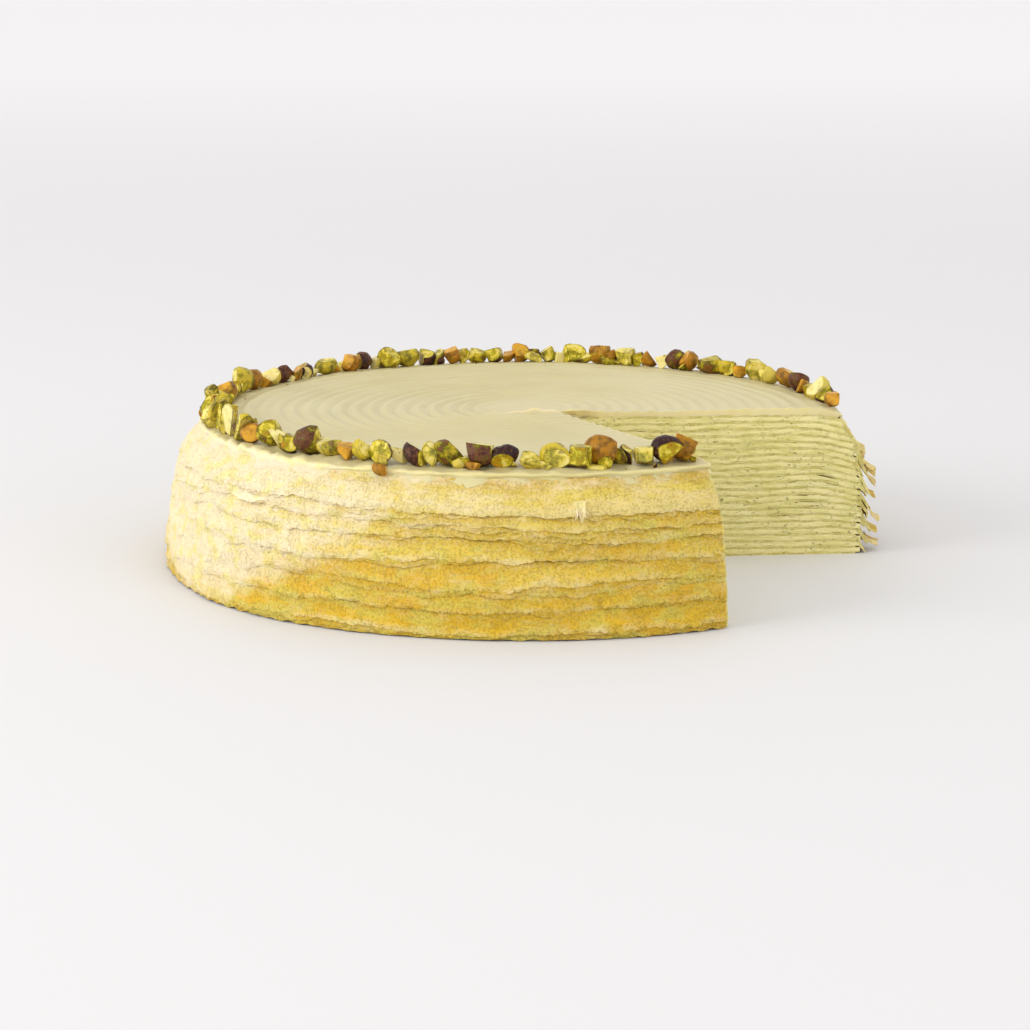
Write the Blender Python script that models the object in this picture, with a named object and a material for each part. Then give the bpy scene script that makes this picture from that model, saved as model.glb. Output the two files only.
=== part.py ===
# Crepe cake: a stack of thin crepes with pistachio cream between them, whose rims hang down over
# one another as skirts, a smooth cream top with a ring of nuts on it, and one wedge cut away.
# Metres, +Z up. The origin is the centre of the base, and the cut opens towards +X and -Y.
import math

import bmesh
import bpy
from mathutils import Vector

# Driving dimensions of the whole
CAKE_RADIUS = 0.1145            # out to the tips of the longest skirts
CAKE_HEIGHT = 0.047             # base to the top of the cream, without the nuts
LAYER_GAP = 0.0002              # clearance between one layer and the next

# Crepes
CREPE_COUNT = 22
CREPE_THICKNESS = 0.0007
SHORTEST_SKIRT = 0.0040         # length of a crepe's rim from its fold to its hanging edge
LONGEST_SKIRT = 0.0115
SKIRT_REACH = 0.0046            # how far most rims stand out past their fold
BASE_CLEARANCE = 0.0003         # from the lowest rims to the surface the cake stands on
SKIRT_SPACING = 0.00097         # from the face of one hanging rim to the next one's
SHOULDER_INSET = 0.0074         # how much further in the top crepe folds than the lowest
SHOULDER_START = 0.20           # height, as a share of the whole, where the side leans in
OUTLINE_WAVE = 0.0007           # unevenness of the round outline
CREPE_SEGMENTS = 36

# Cream
CREAM_INSET = 0.0012            # from the fold of a crepe in to the edge of its cream
TOP_CREAM_THICKNESS = 0.0016
TOP_CREAM_SHOULDER = 0.03       # share of its radius that rolls over at the edge
CREAM_SEGMENTS = 26

# Wedge that was cut out
WEDGE_TIP = (0.0101, -0.0092)
WEDGE_FRONT_SIDE = math.radians(-61.7)
WEDGE_BACK_SIDE = math.radians(5.3)
WEDGE_REACH = 1.6 * CAKE_RADIUS

# Ring of nuts
NUT_COUNT = 76                  # places round a whole ring, before the wedge is cut
RING_RADIUS = 0.0957
RING_WIDTH = 0.0094
RING_HEIGHT = 0.0062
RING_WANDER = 0.0009            # how far its middle strays from a true circle
NUT_GROOVE = 0.24               # how much smaller the ring is between two nuts than at a nut
NUT_SPREAD = 0.16               # how much the nuts differ in size

GOLDEN_ANGLE = math.pi * (3 - math.sqrt(5))
MERGE_DISTANCE = 1e-6

PITCH = (CAKE_HEIGHT - TOP_CREAM_THICKNESS - LAYER_GAP - CREPE_THICKNESS) / (CREPE_COUNT - 1)
CREAM_THICKNESS = PITCH - CREPE_THICKNESS - 2 * LAYER_GAP

CREPE_COLOUR = (0.78, 0.57, 0.20)
CREAM_COLOUR = (0.72, 0.64, 0.37)
NUT_COLOUR = (0.42, 0.37, 0.10)


def clear_scene():
    for old in list(bpy.data.objects):
        bpy.data.objects.remove(old, do_unlink=True)


def new_collection(name):
    collection = bpy.data.collections.new(name)
    bpy.context.scene.collection.children.link(collection)
    return collection


def plain_material(name, colour, roughness):
    material = bpy.data.materials.new(name)
    material.use_nodes = True
    shader = material.node_tree.nodes["Principled BSDF"]
    shader.inputs["Base Color"].default_value = (*colour, 1.0)
    shader.inputs["Roughness"].default_value = roughness
    shader.inputs["Metallic"].default_value = 0.0
    return material


def wave(angle, seed, lobes):
    # Smooth closed unevenness round the cake, between -1 and 1
    turns = [math.sin(lobe * angle + GOLDEN_ANGLE * seed * lobe) for lobe in lobes]
    return sum(turns) / len(turns)


def shoulder_inset(height):
    rise = max(0.0, (height / CAKE_HEIGHT - SHOULDER_START) / (1 - SHOULDER_START))
    return SHOULDER_INSET * rise ** 2


def crepe_level(index):
    return index * PITCH


def fold_radius(index, angle):
    # Where a crepe stops lying flat and starts to hang
    radius = CAKE_RADIUS - SKIRT_REACH - shoulder_inset(crepe_level(index))
    return radius + OUTLINE_WAVE * wave(angle, 1, (2, 3, 5))


def skirt_lean(index):
    # Angle of a hanging rim from straight down: enough for each skirt to lie over the one below
    step_in = shoulder_inset(crepe_level(index)) - shoulder_inset(crepe_level(index - 1))
    return math.atan2(step_in, PITCH) + math.asin(SKIRT_SPACING / math.hypot(step_in, PITCH))


def skirt_length(index, angle):
    # Some crepes hang long and some short, and each is uneven round the cake
    long_or_short = math.sin(2 * GOLDEN_ANGLE * index) ** 2
    uneven = 0.5 + 0.5 * wave(angle, index + 2, (2, 3, 5, 7))
    share = 0.55 * long_or_short + 0.45 * uneven
    length = SHORTEST_SKIRT + (LONGEST_SKIRT - SHORTEST_SKIRT) * share
    return min(length, (crepe_level(index) - BASE_CLEARANCE) / math.cos(skirt_lean(index)))


def spin_section(section, segments, place, closed=False):
    # Spins a half-section about Z, and then carries each point, given by its distance out, its
    # level and its angle, to its own radius and height. An open section ends on the axis.
    mesh = bmesh.new()
    points = [mesh.verts.new((out, 0.0, level)) for out, level in section]
    following = points[1:] + points[:1] if closed else points[1:]
    edges = [mesh.edges.new(pair) for pair in zip(points, following)]
    bmesh.ops.spin(mesh, geom=points + edges, cent=(0, 0, 0), axis=(0, 0, 1),
                   steps=segments, angle=math.tau, use_merge=True)
    bmesh.ops.remove_doubles(mesh, verts=mesh.verts, dist=MERGE_DISTANCE)
    for vert in mesh.verts:
        angle = math.atan2(vert.co.y, vert.co.x)
        radius, height = place(math.hypot(vert.co.x, vert.co.y), vert.co.z, angle)
        vert.co = Vector((radius * math.cos(angle), radius * math.sin(angle), height))
    bmesh.ops.recalc_face_normals(mesh, faces=mesh.faces)
    return mesh


def add_object(name, mesh, material, collection):
    data = bpy.data.meshes.new(name)
    mesh.to_mesh(data)
    mesh.free()
    data.materials.append(material)
    piece = bpy.data.objects.new(name, data)
    collection.objects.link(piece)
    return piece


def wedge_cutter(collection):
    # Three-sided prism that stands on the tip of the cut and runs out past the rim
    sides = (WEDGE_FRONT_SIDE, WEDGE_BACK_SIDE)
    tip = Vector((*WEDGE_TIP, -CAKE_HEIGHT))
    ends = [tip + WEDGE_REACH * Vector((math.cos(side), math.sin(side), 0)) for side in sides]
    mesh = bmesh.new()
    base = mesh.faces.new([mesh.verts.new(corner) for corner in (tip, *ends)])
    grown = bmesh.ops.extrude_face_region(mesh, geom=[base])["geom"]
    raised = [item for item in grown if isinstance(item, bmesh.types.BMVert)]
    bmesh.ops.translate(mesh, verts=raised, vec=(0, 0, 3 * CAKE_HEIGHT))
    bmesh.ops.recalc_face_normals(mesh, faces=mesh.faces)
    data = bpy.data.meshes.new("wedge")
    mesh.to_mesh(data)
    mesh.free()
    cutter = bpy.data.objects.new("wedge", data)
    cutter.display_type = "WIRE"
    cutter.hide_render = True
    collection.objects.link(cutter)
    return cutter


def cut_wedge(piece, cutter):
    cut = piece.modifiers.new("wedge", "BOOLEAN")
    cut.operation = "DIFFERENCE"
    cut.solver = "EXACT"
    cut.object = cutter


def crepe_mesh(index):
    # A flat round sheet, whose fold is at 1 and whose rim at 2, bent down past the fold.
    # The lowest crepe lies flat all over.
    base = crepe_level(index)
    lean = skirt_lean(index) if index else math.pi / 2
    section = [(0, CREPE_THICKNESS), (1, CREPE_THICKNESS), (2, CREPE_THICKNESS),
               (2, 0), (1, 0), (0, 0)]

    def place(out, level, angle):
        fold = fold_radius(index, angle)
        if out < 1.5:
            return fold * out, base + level
        length = skirt_length(index, angle) if index else LAYER_GAP
        radius = fold + length * math.sin(lean) + level * math.cos(lean)
        return radius, base - length * math.cos(lean) + level * math.sin(lean)

    return spin_section(section, CREPE_SEGMENTS, place)


def cream_mesh(index):
    # The cream that lies on one crepe, kept in from the fold of the crepe above it
    base = crepe_level(index) + CREPE_THICKNESS + LAYER_GAP
    section = [(0, CREAM_THICKNESS), (1, CREAM_THICKNESS), (1, 0), (0, 0)]

    def place(out, level, angle):
        return (fold_radius(index + 1, angle) - CREAM_INSET) * out, base + level

    return spin_section(section, CREAM_SEGMENTS, place)


def top_cream_mesh():
    # The top is spread a little thicker and rolls over at its edge
    base = crepe_level(CREPE_COUNT - 1) + CREPE_THICKNESS + LAYER_GAP
    inner = 1 - TOP_CREAM_SHOULDER
    outer = 1 - 0.3 * TOP_CREAM_SHOULDER
    thick = TOP_CREAM_THICKNESS
    section = [(0, thick), (inner, thick), (outer, 0.78 * thick), (1, 0.35 * thick), (1, 0), (0, 0)]

    def place(out, level, angle):
        return fold_radius(CREPE_COUNT - 1, angle) * out, base + level

    return spin_section(section, CREPE_SEGMENTS, place)


def nut_ring_mesh():
    # One lumpy round bank, fullest at the middle of each nut and smallest between two
    base = CAKE_HEIGHT + LAYER_GAP
    half = RING_WIDTH / 2
    outline = [(-0.8, 0), (-1, 0.38), (-0.45, 1), (0.45, 1), (1, 0.38), (0.8, 0)]
    section = [(RING_RADIUS + across * half, up * RING_HEIGHT) for across, up in outline]

    def place(out, level, angle):
        between = 0.5 - 0.5 * math.cos(NUT_COUNT * angle)
        size = 1 + NUT_SPREAD * wave(angle, 3, (7, 17, 29)) - NUT_GROOVE * between
        middle = RING_RADIUS + RING_WANDER * wave(angle, 5, (5, 11, 23))
        return middle + (out - RING_RADIUS) * size, base + level * size

    return spin_section(section, 2 * NUT_COUNT, place, closed=True)


def build():
    clear_scene()
    cake = new_collection("crepe_cake")
    cutters = new_collection("cutters")
    cutter = wedge_cutter(cutters)
    crepe_finish = plain_material("crepe", CREPE_COLOUR, 0.60)
    cream_finish = plain_material("cream", CREAM_COLOUR, 0.48)
    nut_finish = plain_material("nut", NUT_COLOUR, 0.55)
    for index in range(CREPE_COUNT):
        cut_wedge(add_object(f"crepe_{index + 1:02d}", crepe_mesh(index), crepe_finish, cake), cutter)
        filling = cream_mesh(index) if index < CREPE_COUNT - 1 else top_cream_mesh()
        cut_wedge(add_object(f"cream_{index + 1:02d}", filling, cream_finish, cake), cutter)
    cut_wedge(add_object("nut_ring", nut_ring_mesh(), nut_finish, cake), cutter)


build()
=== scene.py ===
import math
import random

import bpy
import numpy as np
from mathutils import Matrix, Vector, noise


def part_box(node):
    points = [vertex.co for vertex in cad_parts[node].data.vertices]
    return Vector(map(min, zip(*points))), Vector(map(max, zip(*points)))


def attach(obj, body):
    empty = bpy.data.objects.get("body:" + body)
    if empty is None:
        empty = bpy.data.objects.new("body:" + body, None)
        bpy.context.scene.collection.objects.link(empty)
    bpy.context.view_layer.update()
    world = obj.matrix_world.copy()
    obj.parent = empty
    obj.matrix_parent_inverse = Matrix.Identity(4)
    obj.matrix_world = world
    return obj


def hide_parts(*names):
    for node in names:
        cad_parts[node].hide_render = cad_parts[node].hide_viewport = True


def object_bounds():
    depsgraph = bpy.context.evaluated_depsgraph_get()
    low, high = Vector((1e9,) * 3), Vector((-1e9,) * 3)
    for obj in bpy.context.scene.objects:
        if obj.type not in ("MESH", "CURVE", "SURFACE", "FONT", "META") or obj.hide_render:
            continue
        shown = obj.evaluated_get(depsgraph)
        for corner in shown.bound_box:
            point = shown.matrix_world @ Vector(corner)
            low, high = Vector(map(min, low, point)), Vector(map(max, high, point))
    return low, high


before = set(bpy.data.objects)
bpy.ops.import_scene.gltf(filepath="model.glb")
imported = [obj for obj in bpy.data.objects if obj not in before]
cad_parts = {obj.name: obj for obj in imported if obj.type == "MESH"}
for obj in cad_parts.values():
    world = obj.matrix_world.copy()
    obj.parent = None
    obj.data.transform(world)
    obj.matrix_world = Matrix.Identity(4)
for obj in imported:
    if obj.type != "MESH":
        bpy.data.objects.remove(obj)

cadLow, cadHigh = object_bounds()
mm = 0.001

# what the frame says about the stack
crepeNames = sorted(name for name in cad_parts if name.startswith("crepe_"))
creamNames = sorted(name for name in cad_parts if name.startswith("cream_"))
layerCount = len(crepeNames)
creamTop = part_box(creamNames[-1])[1].z
pitch = (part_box(creamNames[-1])[0].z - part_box(creamNames[0])[0].z) / (layerCount - 1)
outerRadius = (cadHigh.x - cadLow.x) / 2
ringLow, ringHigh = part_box("nut_ring")

cut = {
    "tip": (10.1 * mm, -9.2 * mm),   # where the two knife cuts meet, off the middle
    "frontSide": -61.7,              # degrees, the direction of each cut from the tip
    "backSide": 5.3,
}


def clearSelection():
    if bpy.context.object and bpy.context.object.mode != "OBJECT":
        bpy.ops.object.mode_set(mode="OBJECT")
    bpy.ops.object.select_all(action="DESELECT")


def makeActive(piece):
    clearSelection()
    bpy.context.view_layer.objects.active = piece
    piece.select_set(True)


def startEditing():
    # edit mode with everything picked
    bpy.ops.object.mode_set(mode="EDIT")
    bpy.ops.mesh.select_all(action="SELECT")


def endEditing():
    bpy.ops.object.mode_set(mode="OBJECT")


def selectPoints(piece, test):
    # picks the points whose place passes the test, in edit mode
    bpy.ops.object.mode_set(mode="EDIT")
    bpy.ops.mesh.select_mode(type="VERT")
    bpy.ops.mesh.select_all(action="DESELECT")
    endEditing()
    for vert in piece.data.vertices:
        vert.select = bool(test(vert.co))
    bpy.ops.object.mode_set(mode="EDIT")


def pointsOf(piece):
    coords = np.empty(len(piece.data.vertices) * 3)
    piece.data.vertices.foreach_get("co", coords)
    return coords.reshape(-1, 3)


def placePoints(piece, coords):
    piece.data.vertices.foreach_set("co", np.ascontiguousarray(coords, dtype=float).ravel())
    piece.data.update()


def ownCopy(template, name):
    piece = bpy.data.objects.new(name, template.data.copy())
    piece.data.name = name
    bpy.context.scene.collection.objects.link(piece)
    return piece


def addPointValues(piece, **named):
    for name, values in named.items():
        layer = piece.data.attributes.new(name, "FLOAT", "POINT")
        layer.data.foreach_set("value", np.ascontiguousarray(values, dtype=np.float32))


def thicknessGroup(piece, weights):
    # the share of its full thickness a sheet has at each point, in twelfths
    group = piece.vertex_groups.new(name="thickness")
    for step in range(13):
        near = np.nonzero(np.rint(weights * 12) == step)[0].tolist()
        if near:
            group.add(near, step / 12, "REPLACE")


def applyModifier(piece, kind, **settings):
    makeActive(piece)
    modifier = piece.modifiers.new(kind.title(), kind)
    for key, value in settings.items():
        setattr(modifier, key, value)
    bpy.ops.object.modifier_apply(modifier=modifier.name)


def faceOutwards(piece):
    makeActive(piece)
    startEditing()
    bpy.ops.mesh.normals_make_consistent(inside=False)
    endEditing()


def joined(parts, name):
    clearSelection()
    for part in parts:
        part.select_set(True)
    bpy.context.view_layer.objects.active = parts[0]
    bpy.ops.object.join()
    bpy.context.object.name = name
    return bpy.context.object


def oneVertex(name, place):
    # a plane merged down to a single point, the start of every outline
    clearSelection()
    bpy.ops.mesh.primitive_plane_add(size=mm, location=(0, 0, 0))
    piece = bpy.context.object
    piece.name = name
    startEditing()
    bpy.ops.mesh.merge(type="CENTER")
    bpy.ops.transform.translate(value=place)
    endEditing()
    return piece


def finish(piece, material, slot, *nodes, angle=50):
    # smooth, painted, and riding on the cake in place of its plain solids
    makeActive(piece)
    bpy.ops.object.shade_smooth_by_angle(angle=math.radians(angle))
    if material:
        piece.data.materials.clear()
        piece.data.materials.append(material)
    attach(piece, "root")
    if nodes:
        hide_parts(*nodes)


def roundPoints(reach, turn, height):
    return np.column_stack([reach * np.cos(turn), reach * np.sin(turn), height])


def nearTurn(turn, at, reach):
    # 1 at this angle round the cake and fading away from it; at and reach are in degrees
    return np.exp(-((turn - math.radians(at)) / math.radians(reach)) ** 2)


def noiseOver(points):
    # smooth random values, about -1 to 1, one for each point
    return np.array([noise.noise(Vector(point)) for point in points])


def smoothStep(values, start, end):
    share = np.clip((values - start) / (end - start), 0, 1)
    return share * share * (3 - 2 * share)


tip = np.array(cut["tip"])


def cutDirection(side):
    turn = math.radians(cut[side])
    return np.array([math.cos(turn), math.sin(turn)])


def reachFromTip(lean, radius):
    # how far it is from the tip to this radius, in a direction that lies this far along the tip
    return -lean + np.sqrt(lean ** 2 - tip @ tip + radius ** 2)


def cutAngle(side, radius):
    # the angle, seen from the middle of the cake, where a cut crosses this radius
    along = cutDirection(side)
    reach = reachFromTip(tip @ along, radius)
    turn = np.arctan2(tip[1] + reach * along[1], tip[0] + reach * along[0])
    return turn if side == "backSide" else turn + math.tau


def unwound(turn, start):
    # angles counted on from start, with a little slack for points just before it
    return (turn - start + 0.1) % math.tau + start - 0.1


def roundCake(share, radius):
    # angle at this share of the way round from the back cut to the front cut
    start, end = cutAngle("backSide", radius), cutAngle("frontSide", radius)
    return start + share * (end - start)


settled = {
    "sag": 1.3 * mm,        # how far the rim of the top has sunk
    "sagStart": 0.78,       # share of the radius where it starts
    "droop": 2.9 * mm,      # more of the same beside the back cut, low down too
    "looseTurn": 22,        # degrees round the cake that this reaches
    "wobble": 0.20 * mm,    # up and down of each layer
}


def settle(coords):
    # the stack sinks towards its rim, and its layers are never quite level
    x, y, z = coords[:, 0], coords[:, 1], coords[:, 2]
    height = np.clip(z / creamTop, 0, 1.2)
    radius = np.hypot(x, y)
    sag = settled["sag"] * smoothStep(radius, settled["sagStart"] * outerRadius, 0.93 * outerRadius)
    loose = nearTurn(unwound(np.arctan2(y, x), math.radians(-20)), 0, settled["looseTurn"])
    droop = settled["droop"] * loose * smoothStep(radius, 0.79 * outerRadius, 0.98 * outerRadius)
    sag = sag * height + droop * np.clip(2.0 * height, 0, 1)
    wobble = (np.sin(130 * x + 60 * y + 120 * z) + 0.7 * np.sin(270 * x - 120 * y - 260 * z + 2)
              + 0.45 * np.sin(520 * x + 350 * y + 470 * z + 4) + 0.3 * np.sin(930 * x - 300 * y + 1500 * z))
    held = np.clip(height * 5, 0, 1) * smoothStep(creamTop - z, -2 * mm, 6 * mm)
    return np.column_stack([x, y, z - sag + settled["wobble"] * wobble * held])


class Value:
    # a socket that maths can be written with
    def __init__(self, recipe, socket):
        self.recipe, self.socket = recipe, socket

    def maths(self, operation, first, second):
        return self.recipe.add("ShaderNodeMath", {"operation": operation}, {0: first, 1: second})

    def __add__(self, other):
        return self.maths("ADD", self, other)

    def __radd__(self, other):
        return self.maths("ADD", other, self)

    def __sub__(self, other):
        return self.maths("SUBTRACT", self, other)

    def __rsub__(self, other):
        return self.maths("SUBTRACT", other, self)

    def __mul__(self, other):
        return self.maths("MULTIPLY", self, other)

    def __rmul__(self, other):
        return self.maths("MULTIPLY", other, self)


class Recipe:
    def __init__(self, name):
        self.material = bpy.data.materials.new(name)
        self.material.use_nodes = True
        self.tree = self.material.node_tree
        self.shader = self.tree.nodes["Principled BSDF"]

    def add(self, kind, settings=None, sockets=None, output=0):
        node = self.tree.nodes.new(kind)
        for key, value in (settings or {}).items():
            if key == "stops":
                self.setStops(node.color_ramp, value)
            else:
                setattr(node, key, value)
        for key, value in (sockets or {}).items():
            self.feed(node.inputs[key], value)
        return Value(self, node.outputs[output])

    def feed(self, socket, value):
        if isinstance(value, Value):
            self.tree.links.new(value.socket, socket)
        else:
            socket.default_value = value

    def setStops(self, ramp, stops):
        while len(ramp.elements) < len(stops):
            ramp.elements.new(0.5)
        for element, (place, colour) in zip(ramp.elements, stops):
            element.position = place
            element.color = (*colour, 1) if isinstance(colour, tuple) else (colour, colour, colour, 1)

    def place(self, stretch=(1, 1, 1)):
        coords = self.add("ShaderNodeTexCoord", output="Object")
        return self.add("ShaderNodeMapping", {}, {"Vector": coords, "Scale": stretch})

    def noise(self, scale, detail=2.0, rough=0.5, where=None, twist=0.0):
        return self.add("ShaderNodeTexNoise", {}, {
            "Vector": where or self.place(), "Scale": scale, "Detail": detail,
            "Roughness": rough, "Distortion": twist})

    def ramp(self, value, *stops):
        return self.add("ShaderNodeValToRGB", {"stops": stops}, {"Fac": value})

    def mask(self, value, low, high):
        return self.add("ShaderNodeMapRange", {"interpolation_type": "SMOOTHSTEP"},
                        {"Value": value, "From Min": low, "From Max": high})

    def spots(self, low, high, *noise):
        return self.mask(self.noise(*noise), low, high)

    def mix(self, factor, first, second):
        return self.add("ShaderNodeMix", {"data_type": "RGBA"}, {0: factor, 6: first, 7: second}, 2)

    def paint(self, colour, look, *tints):
        # lays tints from the look over a colour, each by its own factor
        for factor, name in tints:
            colour = self.mix(factor, colour, look[name])
        return colour

    def attribute(self, name, output="Fac"):
        return self.add("ShaderNodeAttribute", {"attribute_name": name}, {}, output)

    def bump(self, height, distance, strength):
        return self.add("ShaderNodeBump", {},
                        {"Height": height, "Distance": distance, "Strength": strength})

    def finish(self, colour, roughness, normal, **fixed):
        self.feed(self.shader.inputs["Base Color"], colour)
        self.feed(self.shader.inputs["Roughness"], roughness)
        self.feed(self.shader.inputs["Normal"], normal)
        for key, value in fixed.items():
            self.shader.inputs[key.replace("_", " ")].default_value = value
        return self.material


def rgb(red, green, blue):
    return (red, green, blue, 1.0)


crepeLook = {
    "pale": rgb(0.80, 0.610, 0.235),    # towards a hanging edge
    "yellow": rgb(0.76, 0.580, 0.105),  # the middle of a band, high on the cake
    "golden": rgb(0.73, 0.435, 0.006),  # and low on it
    "shadeAndToast": rgb(0.56, 0.345, 0.012),    # painted shade just under the edge above, also used for toasting
    "orange": rgb(0.70, 0.39, 0.014),   # toasted patches
    "lime": rgb(0.60, 0.53, 0.09),
    "brown": rgb(0.36, 0.22, 0.015),    # dots along an edge
    "pore": rgb(0.42, 0.29, 0.035),
    "cut": rgb(0.76, 0.67, 0.27),
    "cutDark": rgb(0.60, 0.52, 0.16),
    "smear": rgb(0.87, 0.73, 0.475),    # filling wiped over the side; on the lit left side of the crepes it is also painted light
    "lemon": rgb(0.83, 0.72, 0.26),
    "poreScale": 1450,
    "relief": 0.665 * mm,
    "body": {"Subsurface_Weight": 0.22, "Subsurface_Scale": 1.4 * mm,
             "Subsurface_Radius": (1.0, 0.75, 0.25), "Specular_IOR_Level": 0.3},
}


def crepeMaterial():
    look = crepeLook
    recipe = Recipe("softCrepe")
    fringe = recipe.attribute("fringe")
    under = recipe.attribute("under")
    toast = recipe.attribute("toast")
    height = recipe.add("ShaderNodeSeparateXYZ", {}, {"Vector": recipe.place()}, "Z")
    blotch = recipe.noise(75, 3, 0.55)
    streak = recipe.noise(230, 4, 0.6, recipe.place((0.35, 0.35, 1.7)), 0.3)
    patch = recipe.noise(200, 4, 0.65)
    grain = recipe.noise(look["poreScale"], 4, 0.65)
    low = recipe.mask(1.0 - 21.0 * height + 0.5 * blotch - 0.25, 0.15, 1.0)
    pale = recipe.mask(0.8 * under + 1.4 * streak + 1.3 * patch - 1.0 * toast - 0.45 * low, 1.40, 2.0)
    rim = recipe.mask(fringe, 0.24, 0.02) * recipe.mask(streak + patch, 0.65, 1.15)
    # painted shade: golden-brown just under the edge above, where the rim shades the band, mixed with
    # toasting
    shadeAndToast = 1.1 - 1.6 * under + 1.3 * streak + 0.7 * patch + 0.9 * toast + 0.3 * low
    # painted shadow in a thin strip right under each rim edge
    paintedShadeUnderRim = recipe.mask(under + 0.12 * streak, 0.24, 0.04)
    orange = recipe.mask(recipe.noise(110, 3, 0.6) + 0.55 * toast + 0.15 * low, 0.70, 0.92)
    lime = recipe.mask(recipe.noise(95, 3, 0.6, recipe.place((1, 1, 2.5))) + 0.1 * low, 0.54, 0.72)
    # light and dark grain of the sponge
    pores = recipe.mask(grain + 0.25 * patch, 0.62, 0.46)
    crumb = recipe.mask(recipe.noise(1150, 4, 0.75) + 0.3 * streak, 0.62, 0.78)
    colour = recipe.mix(low, look["yellow"], look["golden"])
    colour = recipe.paint(
        colour, look, (pale * 0.80, "pale"), (rim * (0.75 - 0.25 * low), "pale"),
        (recipe.mask(shadeAndToast, 1.35, 2.15) * 0.66, "shadeAndToast"), (paintedShadeUnderRim * 0.65, "shadeAndToast"), (orange * 0.7, "orange"),
        (lime * 0.6, "lime"), (pores * 0.42, "pore"), (crumb * (0.60 - 0.45 * low), "pale"))
    lemon = recipe.spots(0.50, 0.62, 170, 3, 0.6, recipe.place((1, 1, 1.6)))
    wiped = recipe.paint(look["smear"], look, (lemon * 0.75, "lemon"), (pores * 0.13, "pore"))
    # pale smear colour: partly wiped filling, partly painted light on the lit left side
    creamy = recipe.mask(recipe.attribute("creamy") + 1.2 * streak + 0.9 * patch, 1.02, 2.02)
    colour = recipe.mix(creamy * 0.90, colour, wiped)
    # the very edge is lacy, and browned in dots low down
    edge = recipe.mask(fringe, 0.09, 0.02) * recipe.spots(0.50, 0.62, 820, 3)
    colour = recipe.mix(edge * (0.20 + 0.50 * low) * (1 - creamy), colour, look["brown"])
    cutTint = recipe.mix(recipe.spots(0.40, 0.62, 260, 3, 0.6), look["cut"], look["cutDark"])
    colour = recipe.mix(recipe.attribute("cutSide") * 0.9, colour, cutTint)
    relief = 0.7 * grain + 0.9 * recipe.noise(400, 4, 0.6) + 1.0 * streak - 0.25 * pores
    normal = recipe.bump(relief, look["relief"], 0.8)
    return recipe.finish(colour, 0.50 + 0.2 * grain, normal, **look["body"])


creamLook = {
    "pale": rgb(0.89, 0.78, 0.365),
    "green": rgb(0.68, 0.62, 0.19),
    "pit": rgb(0.30, 0.25, 0.05),
    "top": rgb(0.580, 0.508, 0.265),
    "topShade": rgb(0.548, 0.478, 0.242),
    # lighter cream for the rolled rim; on the cap's cut side it is painted light
    "rim": rgb(0.70, 0.615, 0.275),
    "speck": rgb(0.45, 0.42, 0.16),
    "fillingBody": {"Subsurface_Weight": 0.3, "Subsurface_Scale": 1.5 * mm,
                    "Subsurface_Radius": (1.0, 0.85, 0.45), "Specular_IOR_Level": 0.4},
    "topBody": {"Subsurface_Weight": 0.3, "Subsurface_Scale": 2.0 * mm,
                "Subsurface_Radius": (1.0, 0.9, 0.55), "Specular_IOR_Level": 0.4},
}


def fillingMaterial():
    look = creamLook
    recipe = Recipe("pistachioFilling")
    streaky = recipe.place((0.35, 0.35, 3.0))
    streaks = recipe.noise(420, 4, 0.6, streaky)
    green = recipe.mask(streaks + 0.5 * recipe.noise(60, 2), 0.62, 0.95)
    colour = recipe.mix(green * 0.8, look["pale"], look["green"])
    pits = recipe.spots(0.585, 0.68, 1000, 3, 0.6, recipe.place((1, 1, 1.8)))
    pits = pits * recipe.spots(0.42, 0.62, 200, 2)
    colour = recipe.mix(pits * 0.8, colour, look["pit"])
    relief = streaks + 0.9 * recipe.noise(1300, 4, 0.7) - 1.2 * pits
    normal = recipe.bump(relief, 0.42 * mm, 0.95)
    return recipe.finish(colour, 0.42 + 0.2 * streaks, normal, **look["fillingBody"])


def topCreamMaterial():
    look = creamLook
    recipe = Recipe("spreadCream")
    cloud = recipe.noise(35, 3, 0.5)
    colour = recipe.mix(recipe.mask(cloud, 0.35, 0.7), look["top"], look["topShade"])
    # lighter on the rolled rim; on the cap's cut side this is painted light on a face that stands in shade
    colour = recipe.mix(recipe.attribute("rim"), colour, look["rim"])
    wiped = recipe.attribute("wiped")
    lemon = recipe.spots(0.50, 0.62, 170, 3, 0.6, recipe.place((1, 1, 1.6)))
    colour = recipe.mix(wiped, colour, recipe.mix(lemon * 0.7, crepeLook["smear"], crepeLook["lemon"]))
    specks = recipe.spots(0.70, 0.77, 1500, 2)
    colour = recipe.mix(specks * 0.5, colour, look["speck"])
    relief = recipe.noise(120, 3) + 0.25 * recipe.noise(900, 2)
    relief = relief + (3.2 * wiped + 1.6 * recipe.attribute("rim")) * recipe.noise(420, 4, 0.65)
    normal = recipe.bump(relief, 0.25 * mm, 0.7)
    return recipe.finish(colour, 0.40 + 0.12 * cloud, normal, **look["topBody"])


nutLook = {
    "amber": rgb(0.36, 0.145, 0.004),
    "amberDark": rgb(0.15, 0.055, 0.003),
    "amberCut": rgb(0.66, 0.33, 0.014),
    "paleSkin": rgb(0.66, 0.54, 0.12),
    "paleFlesh": rgb(0.84, 0.73, 0.34),
    "stain": rgb(0.13, 0.075, 0.004),
    "scurf": rgb(0.36, 0.22, 0.06),
    "shine": {"Specular_IOR_Level": 0.14, "Coat_Weight": 0.05, "Coat_Roughness": 0.12},
    "fleshBody": {"Subsurface_Weight": 0.12, "Subsurface_Scale": 1.0 * mm,
                  "Subsurface_Radius": (1.0, 0.8, 0.3)},
}


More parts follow.
